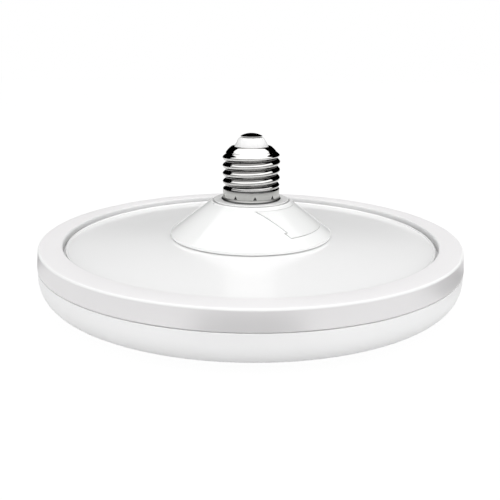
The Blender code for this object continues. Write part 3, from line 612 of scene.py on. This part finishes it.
class Finish:
    """A material whose colour, roughness and surface vary a little over the piece."""

    def __init__(self, name, roughness, metallic=0.0):
        self.material = bpy.data.materials.new(name)
        self.material.use_nodes = True
        self.tree = self.material.node_tree
        self.shader = self.tree.nodes["Principled BSDF"]
        self.shader.inputs["Roughness"].default_value = roughness
        self.shader.inputs["Metallic"].default_value = metallic
        self.place = self.tree.nodes.new("ShaderNodeTexCoord")

    def node(self, kind, **inputs):
        made = self.tree.nodes.new(kind)
        for key, value in inputs.items():
            made.inputs[key.replace("_", " ")].default_value = value
        return made

    def link(self, start, end):
        self.tree.links.new(start, end)

    def noise(self, per_metre, detail=3.0, stretch=(1, 1, 1)):
        """Cloudy pattern on the piece, so many features to the metre."""
        scaled = self.node("ShaderNodeMapping", Scale=stretch)
        pattern = self.node("ShaderNodeTexNoise", Scale=per_metre, Detail=detail)
        self.link(self.place.outputs["Object"], scaled.inputs["Vector"])
        self.link(scaled.outputs["Vector"], pattern.inputs["Vector"])
        return pattern.outputs["Fac"]

    def height(self, low, high):
        """0 below a height in millimetres, 1 above another."""
        split = self.node("ShaderNodeSeparateXYZ")
        self.link(self.place.outputs["Object"], split.inputs["Vector"])
        return self.spread(split.outputs["Z"], low * MM, high * MM, 0.0, 1.0)

    def inside(self, radius):
        """1 nearer to the lamp's axis than a radius in millimetres, 0 outside it."""
        flat = self.node("ShaderNodeMapping", Scale=(1, 1, 0))
        length = self.tree.nodes.new("ShaderNodeVectorMath")
        length.operation = "LENGTH"
        self.link(self.place.outputs["Object"], flat.inputs["Vector"])
        self.link(flat.outputs["Vector"], length.inputs[0])
        return self.spread(length.outputs["Value"], (radius - 0.04) * MM, radius * MM, 1.0, 0.0)

    def larger(self, first, second):
        made = self.tree.nodes.new("ShaderNodeMath")
        made.operation = "MAXIMUM"
        self.link(first, made.inputs[0])
        self.link(second, made.inputs[1])
        return made.outputs[0]

    def spread(self, source, low, high, to_low, to_high):
        made = self.node("ShaderNodeMapRange")
        made.inputs["From Min"].default_value = low
        made.inputs["From Max"].default_value = high
        made.inputs["To Min"].default_value = to_low
        made.inputs["To Max"].default_value = to_high
        self.link(source, made.inputs["Value"])
        return made.outputs["Result"]

    def mix_colours(self, share, first, second):
        made = self.tree.nodes.new("ShaderNodeMix")
        made.data_type = "RGBA"
        for socket, colour in ((made.inputs[6], first), (made.inputs[7], second)):
            if isinstance(colour, tuple):
                socket.default_value = (*colour, 1.0)
            else:
                self.link(colour, socket)
        self.link(share, made.inputs[0])
        return made.outputs[2]

    def colours(self, share, first, second):
        made = self.mix_colours(share, first, second)
        self.link(made, self.shader.inputs["Base Color"])

    def roughness(self, share, low, high):
        self.link(self.spread(share, 0.3, 0.7, low, high), self.shader.inputs["Roughness"])

    def bump(self, share, depth, strength=1.0):
        """A surface that rises by depth millimetres with the pattern."""
        made = self.node("ShaderNodeBump", Strength=strength, Distance=depth * MM)
        self.link(share, made.inputs["Height"])
        self.link(made.outputs["Normal"], self.shader.inputs["Normal"])

    def dress(self, *pieces):
        for piece in pieces:
            piece.data.materials.clear()
            piece.data.materials.append(self.material)


def tint(colour, factor):
    return tuple(channel * factor for channel in colour)


def skin(name, low, high, grain=1200, depth=0.004, cloud=35):
    """A moulded or painted surface with a fine skin and uneven gloss, still without its colour."""
    made = Finish(name, (low + high) / 2)
    made.roughness(made.noise(cloud * 2.3, 4.0), low, high)
    made.bump(made.noise(grain, 2.0), depth)
    return made


def moulded(name, colour, low, high, grain=1200, depth=0.004, cloud=35):
    """Moulded plastic or paint of one colour, faintly cloudy."""
    made = skin(name, low, high, grain, depth, cloud)
    made.colours(made.noise(cloud), tint(colour, 0.985), colour)
    return made


def finish_neck(pieces):
    neck = skin("white gloss plastic", 0.10, 0.15)
    white = (0.88, 0.885, 0.88)
    cone = neck.mix_colours(neck.noise(35), tint(white, 0.985), white)
    # Painted shade: the floor of the collar's groove, nearer the axis than 17.8 mm, is grey (0.66).
    groove = neck.mix_colours(neck.inside(17.8), cone, (0.66, 0.66, 0.66))
    # Painted light: above the groove the neck is lighter (0.96) than the cone, on the collar bead and
    # the cone's top edge.
    above_groove = neck.height(CONE_TOP - 0.5, CONE_TOP - 0.4)
    collar = neck.mix_colours(above_groove, groove, (0.96, 0.96, 0.955))
    neck.colours(neck.height(CONE_TOP - 0.7, CONE_TOP - 0.65), cone, collar)
    neck.dress(pieces["neck"])
    panel = moulded("white gloss plastic, greyer", (0.83, 0.835, 0.83), 0.14, 0.20)
    panel.dress(pieces["panel"])


def finish_ring(pieces):
    """Satin white on top and silvery on the outer band; its outer rounded edge is painted lighter as
    a highlight, and the hole's wall and rounded edge are painted darker as shade.
    """
    ring = skin("satin white, silvery on the band", 0.36, 0.42, 1500, 0.006)
    edge = ring.height(RING_TOP - 0.905, RING_TOP - 0.705)
    flat = ring.height(RING_TOP - 0.085, RING_TOP - 0.005)
    # Painted shade: the wall of the hole is darker (0.76) than the band (0.82).
    band, hole_wall_painted_shade = (0.82, 0.81, 0.815), (0.76, 0.76, 0.76)
    sides = ring.mix_colours(ring.inside(HOLE_R + 0.9), band, hole_wall_painted_shade)
    # Painted highlight on the outer rounded edge (0.88), lighter than the top (0.80); painted shade
    # on the hole's rounded edge (0.78).
    rounding_painted_light_and_shade = ring.mix_colours(ring.inside(90.0), (0.88, 0.88, 0.88), (0.78, 0.78, 0.78))
    above = ring.mix_colours(flat, rounding_painted_light_and_shade, (0.80, 0.79, 0.795))
    ring.colours(edge, sides, above)
    ring.shader.inputs["Specular IOR Level"].default_value = 0.1
    ring.link(ring.spread(edge, 0.0, 1.0, 0.34, 0.0), ring.shader.inputs["Metallic"])
    ring.dress(pieces["ring"])


def finish_pieces(pieces, nodes):
    finish_neck(pieces)
    finish_ring(pieces)
    plate = moulded("glossy white paint", (0.90, 0.90, 0.90), 0.13, 0.17, 260, 0.003, 20)
    plate.dress(pieces["plate"])
    bowl = moulded("milky diffuser", (0.97, 0.97, 0.97), 0.34, 0.42, 1800, 0.005)
    bowl.shader.inputs["Subsurface Weight"].default_value = 0.25
    bowl.shader.inputs["Subsurface Radius"].default_value = (0.004, 0.004, 0.0038)
    bowl.shader.inputs["Subsurface Scale"].default_value = 1.0
    bowl.dress(pieces["bowl"])
    collar = moulded("white insulator", (0.95, 0.95, 0.95), 0.22, 0.30, 900, 0.005)
    collar.dress(pieces["insulator"])
    finish_nickel(pieces)
    finish_inside(nodes)


def finish_nickel(pieces):
    """Bright nickel on the thread and satin on the skirt; the thread's root, a line along the skirt's
    top, the skirt's foot and the punches' walls are painted dark as shade.
    """
    shell = Finish("nickel, satin on the skirt", 0.08, 1.0)
    thread = shell.height(SKIRT_TOP - 0.2, SKIRT_TOP + 0.3)
    thread = shell.larger(thread, shell.inside(SKIRT_R - 0.26))
    drawn = shell.noise(500, 4.0, (1, 1, 0.15))
    skirt = shell.mix_colours(drawn, (0.63, 0.63, 0.61), (0.73, 0.73, 0.71))
    # Painted shadow: the skirt's foot, up to 0.35 mm above its edge, is dark (0.10) where it meets
    # the collar.
    skirt = shell.mix_colours(shell.height(CAP + 0.35, CAP + 0.65), (0.10, 0.10, 0.10), skirt)
    # Painted shade: the walls of the punches are near black (0.04).
    skirt = shell.mix_colours(shell.inside(SKIRT_R - 0.01), skirt, (0.04, 0.04, 0.04))
    bright, painted_dark = (0.66, 0.655, 0.645), (0.05, 0.05, 0.05)
    # Painted shade: the root of the thread is near black (0.05).
    rolled = shell.mix_colours(shell.inside(ROOT_R - 0.10), bright, painted_dark)
    rolled = shell.mix_colours(shell.height(SHOULDER, SHOULDER + 0.1), rolled, bright)
    # Painted shade: a near-black line (0.05) along the skirt's top, where the thread starts.
    rolled = shell.mix_colours(shell.height(SKIRT_TOP + 0.60, SKIRT_TOP + 0.75), painted_dark, rolled)
    shell.colours(thread, skirt, rolled)
    satin = shell.spread(drawn, 0.3, 0.7, 0.36, 0.48)
    polish = shell.spread(shell.noise(160), 0.3, 0.7, 0.03, 0.06)
    blend = shell.node("ShaderNodeMix")
    shell.link(thread, blend.inputs[0])
    shell.link(satin, blend.inputs[2])
    shell.link(polish, blend.inputs[3])
    shell.link(blend.outputs[0], shell.shader.inputs["Roughness"])
    shell.bump(drawn, 0.004)
    shell.dress(pieces["shell"])
    contact = Finish("polished contact", 0.07, 1.0)
    contact.colours(contact.noise(300), (0.50, 0.50, 0.49), (0.58, 0.57, 0.56))
    contact.roughness(contact.noise(700), 0.05, 0.10)
    contact.bump(contact.noise(900, 2.0), 0.003)
    contact.dress(pieces["contact"])


def finish_inside(nodes):
    board = moulded("white solder mask", (0.84, 0.84, 0.82), 0.35, 0.45)
    board.dress(nodes["led_board"])
    green = moulded("green circuit board", (0.05, 0.22, 0.09), 0.35, 0.45)
    green.dress(nodes["driver_board"])
    can = moulded("black sleeve", (0.03, 0.03, 0.04), 0.30, 0.40)
    can.dress(nodes["input_capacitor"], nodes["output_capacitor"])
    black = moulded("black moulding", (0.04, 0.04, 0.04), 0.45, 0.60)
    black.dress(nodes["bridge_rectifier"], nodes["fuse_resistor"], nodes["driver_chip"])
    copper = Finish("enamelled winding", 0.35, 0.6)
    copper.colours(copper.noise(800, 2.0, (1, 1, 6)), (0.38, 0.14, 0.05), (0.55, 0.24, 0.09))
    copper.bump(copper.noise(1500, 2.0, (0.2, 0.2, 2)), 0.05)
    copper.dress(nodes["transformer"], nodes["filter_choke"])
    red = moulded("red-brown dip", (0.50, 0.10, 0.04), 0.30, 0.45)
    red.dress(nodes["film_capacitor"])
    leads = {
        "live_lead": ("brown lead", (0.18, 0.07, 0.03)),
        "neutral_lead": ("blue lead", (0.03, 0.10, 0.45)),
        "led_positive_lead": ("red lead", (0.50, 0.02, 0.02)),
        "led_negative_lead": ("black lead", (0.02, 0.02, 0.02)),
    }
    for node, (name, colour) in leads.items():
        moulded(name, colour, 0.40, 0.50).dress(nodes[node])
    steel = Finish("zinc plated steel", 0.3, 1.0)
    steel.colours(steel.noise(900), (0.50, 0.50, 0.49), (0.62, 0.62, 0.60))
    steel.roughness(steel.noise(1200), 0.25, 0.40)
    for node in nodes:
        if "screw_" in node and node != "screw_shell":
            steel.dress(nodes[node])


# Studio, in metres
SOFT_LIGHT = 0.55
FLOOR_GREY = 0.42
FLOOR_GLOW = 1.10
FLOOR_SHARE = 0.88
CARD_PLACE = (0, -0.16, 0.62)
CARD_SIZE = (1.24, 0.92, 1)
CARD_GLOW = 1.7

# Dark wall: its height in front, then its rises as two azimuths in degrees and a change of height
WALL_R = 0.75
WALL_FRONT = 0.36
WALL_RISES = [(96, 124, 0.70), (120, 132, 0.24), (134, 142, -0.24), (146, 156, 0.55)]

# Dark mats: the azimuths between which none lies
MAT_R = 0.118
MAT_WIDENING = 1.8
MAT_HEIGHT = 0.0005
MAT_GAPS = [(-181, -118), (-97, -16), (16, 69), (96, 181)]

# Camera: place in metres, turns in radians, lens in millimetres
CAMERA_PLACE = (0.00087, -0.280, 0.099444)
CAMERA_YAW = -0.0041
CAMERA_PITCH = 0.2894
CAMERA_ROLL = 0.0080
LENS = 44.34


def seen_or_mirrored(tree):
    """1 for what the camera sees and for mirror images, 0 for soft light."""
    path = tree.nodes.new("ShaderNodeLightPath")
    seen = tree.nodes.new("ShaderNodeMath")
    seen.operation = "MAXIMUM"
    mirrored = tree.nodes.new("ShaderNodeMath")
    mirrored.operation = "MAXIMUM"
    tree.links.new(path.outputs["Is Glossy Ray"], mirrored.inputs[0])
    tree.links.new(path.outputs["Is Transmission Ray"], mirrored.inputs[1])
    tree.links.new(path.outputs["Is Camera Ray"], seen.inputs[0])
    tree.links.new(mirrored.outputs[0], seen.inputs[1])
    return seen.outputs[0]


def light_world():
    world = bpy.data.worlds.new("white studio")
    bpy.context.scene.world = world
    world.use_nodes = True
    tree = world.node_tree
    soft = tree.nodes["Background"]
    soft.inputs["Color"].default_value = (1.0, 1.0, 1.0, 1.0)
    soft.inputs["Strength"].default_value = SOFT_LIGHT
    white = tree.nodes.new("ShaderNodeBackground")
    white.inputs["Color"].default_value = (1.0, 1.0, 1.0, 1.0)
    white.inputs["Strength"].default_value = 1.0
    mix = tree.nodes.new("ShaderNodeMixShader")
    tree.links.new(seen_or_mirrored(tree), mix.inputs["Fac"])
    tree.links.new(soft.outputs[0], mix.inputs[1])
    tree.links.new(white.outputs[0], mix.inputs[2])
    tree.links.new(mix.outputs[0], tree.nodes["World Output"].inputs["Surface"])


def lay_floor():
    clear_selection()
    bpy.ops.mesh.primitive_plane_add(size=8, location=(0, 0, -0.0001))
    floor = bpy.context.object
    floor.name = "white_floor"
    material = bpy.data.materials.new("white floor")
    material.use_nodes = True
    tree = material.node_tree
    shader = tree.nodes["Principled BSDF"]
    shader.inputs["Base Color"].default_value = (FLOOR_GREY, FLOOR_GREY, FLOOR_GREY, 1.0)
    shader.inputs["Roughness"].default_value = 0.9
    glow = tree.nodes.new("ShaderNodeEmission")
    glow.inputs["Strength"].default_value = FLOOR_GLOW
    share = tree.nodes.new("ShaderNodeMath")
    share.operation = "MULTIPLY"
    share.inputs[1].default_value = FLOOR_SHARE
    mix = tree.nodes.new("ShaderNodeMixShader")
    tree.links.new(seen_or_mirrored(tree), share.inputs[0])
    tree.links.new(share.outputs[0], mix.inputs["Fac"])
    tree.links.new(shader.outputs[0], mix.inputs[1])
    tree.links.new(glow.outputs[0], mix.inputs[2])
    tree.links.new(mix.outputs[0], tree.nodes["Material Output"].inputs["Surface"])
    floor.data.materials.append(material)


def only_mirrored(item):
    """Leaves a card or a wall to mirror images alone."""
    item.visible_camera = False
    item.visible_diffuse = False
    item.visible_shadow = False
    item.visible_transmission = False


def black_cloth(item):
    material = bpy.data.materials.new("black cloth")
    material.use_nodes = True
    shader = material.node_tree.nodes["Principled BSDF"]
    shader.inputs["Base Color"].default_value = (0.0, 0.0, 0.0, 1.0)
    shader.inputs["Specular IOR Level"].default_value = 0.0
    item.data.materials.append(material)
    only_mirrored(item)


def azimuth_of(point):
    """Degrees round from the viewer's side of the lamp, to the right."""
    return math.degrees(math.atan2(point.x, -point.y))


def black_wall():
    """A dark wall all round: low in front, and high behind the lamp."""
    clear_selection()
    bpy.ops.mesh.primitive_cylinder_add(
        vertices=120, radius=WALL_R, depth=1.0, end_fill_type="NOTHING", location=(0, 0, 0.5)
    )
    wall = bpy.context.object
    wall.name = "dark_wall"
    bpy.ops.object.transform_apply(location=True)
    for vertex in wall.data.vertices:
        if vertex.co.z > 0.5:
            azimuth = abs(azimuth_of(vertex.co))
            rises = [change * ease(azimuth, low, high) for low, high, change in WALL_RISES]
            vertex.co.z = WALL_FRONT + sum(rises)
    black_cloth(wall)


def black_mat():
    """Dark mats in front of the lamp and at its two sides."""
    clear_selection()
    centre = (0, 0, MAT_HEIGHT)
    bpy.ops.mesh.primitive_circle_add(vertices=120, radius=MAT_R, location=centre)
    mat = bpy.context.object
    mat.name = "dark_mat"
    bpy.ops.object.transform_apply(location=True)
    open_edit(mat)
    bpy.ops.mesh.extrude_region_move()
    widening = (MAT_WIDENING, MAT_WIDENING, 1)
    bpy.ops.transform.resize(value=widening, center_override=centre)
    mesh = bmesh.from_edit_mesh(mat.data)
    for face in mesh.faces:
        azimuth = azimuth_of(face.calc_center_median())
        face.select_set(any(low < azimuth < high for low, high in MAT_GAPS))
    bpy.ops.mesh.delete(type="FACE")
    close_edit()
    black_cloth(mat)


def bright_card():
    """A white card over the lamp, which the bright metal mirrors."""
    clear_selection()
    bpy.ops.mesh.primitive_plane_add(size=1, location=CARD_PLACE)
    card = bpy.context.object
    card.name = "bright_card"
    card.scale = CARD_SIZE
    bpy.ops.object.transform_apply(location=True, scale=True)
    material = bpy.data.materials.new("bright card")
    material.use_nodes = True
    tree = material.node_tree
    glow = tree.nodes.new("ShaderNodeEmission")
    glow.inputs["Strength"].default_value = CARD_GLOW
    tree.links.new(glow.outputs[0], tree.nodes["Material Output"].inputs["Surface"])
    card.data.materials.append(material)
    only_mirrored(card)


def softbox(name, place, target, width, height, power):
    data = bpy.data.lights.new(name, "AREA")
    data.shape = "RECTANGLE"
    data.size = width
    data.size_y = height
    data.energy = power
    lamp = bpy.data.objects.new(name, data)
    lamp.visible_glossy = False
    bpy.context.scene.collection.objects.link(lamp)
    lamp.location = place
    lamp.rotation_euler = (Vector(target) - Vector(place)).to_track_quat("-Z", "Y").to_euler()


def hang_softboxes():
    softbox("overhead", (0.06, 0.30, 0.78), (0, 0, 0.03), 0.80, 0.80, 3.7)
    softbox("front", (0.0, -0.90, 0.12), (0, 0, 0.03), 0.60, 0.60, 3.8)
    softbox("left", (-0.80, -0.20, 0.45), (0, 0, 0.03), 0.50, 0.50, 1.7)
    softbox("right", (0.80, -0.20, 0.45), (0, 0, 0.03), 0.50, 0.50, 2.0)


def set_camera():
    data = bpy.data.cameras.new("camera")
    data.sensor_width = 36.0
    data.lens = LENS
    data.clip_start = 0.01
    data.clip_end = 20.0
    camera = bpy.data.objects.new("camera", data)
    bpy.context.scene.collection.objects.link(camera)
    yaw, pitch, roll = CAMERA_YAW, CAMERA_PITCH, CAMERA_ROLL
    ahead = Vector(
        (math.sin(yaw) * math.cos(pitch), math.cos(yaw) * math.cos(pitch), -math.sin(pitch))
    )
    right = Vector((math.cos(yaw), -math.sin(yaw), 0))
    up = right.cross(ahead)
    level_x = right * math.cos(roll) + up * math.sin(roll)
    level_y = up * math.cos(roll) - right * math.sin(roll)
    turned = Matrix((level_x, level_y, -ahead)).transposed().to_4x4()
    camera.matrix_world = Matrix.Translation(CAMERA_PLACE) @ turned
    bpy.context.scene.camera = camera


def clear_startup():
    for item in list(bpy.data.objects):
        bpy.data.objects.remove(item)


clear_startup()
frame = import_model()
made = {
    "ring": model_ring(),
    "plate": model_plate(),
    "bowl": model_diffuser(),
    "neck": model_neck(),
    "panel": model_panel(),
    "shell": model_shell(),
    "insulator": model_insulator(),
    "contact": model_contact(),
}
finish_pieces(made, frame["nodes"])
light_world()
lay_floor()
black_wall()
black_mat()
bright_card()
hang_softboxes()
set_camera()
bpy.context.scene.view_settings.view_transform = "Standard"
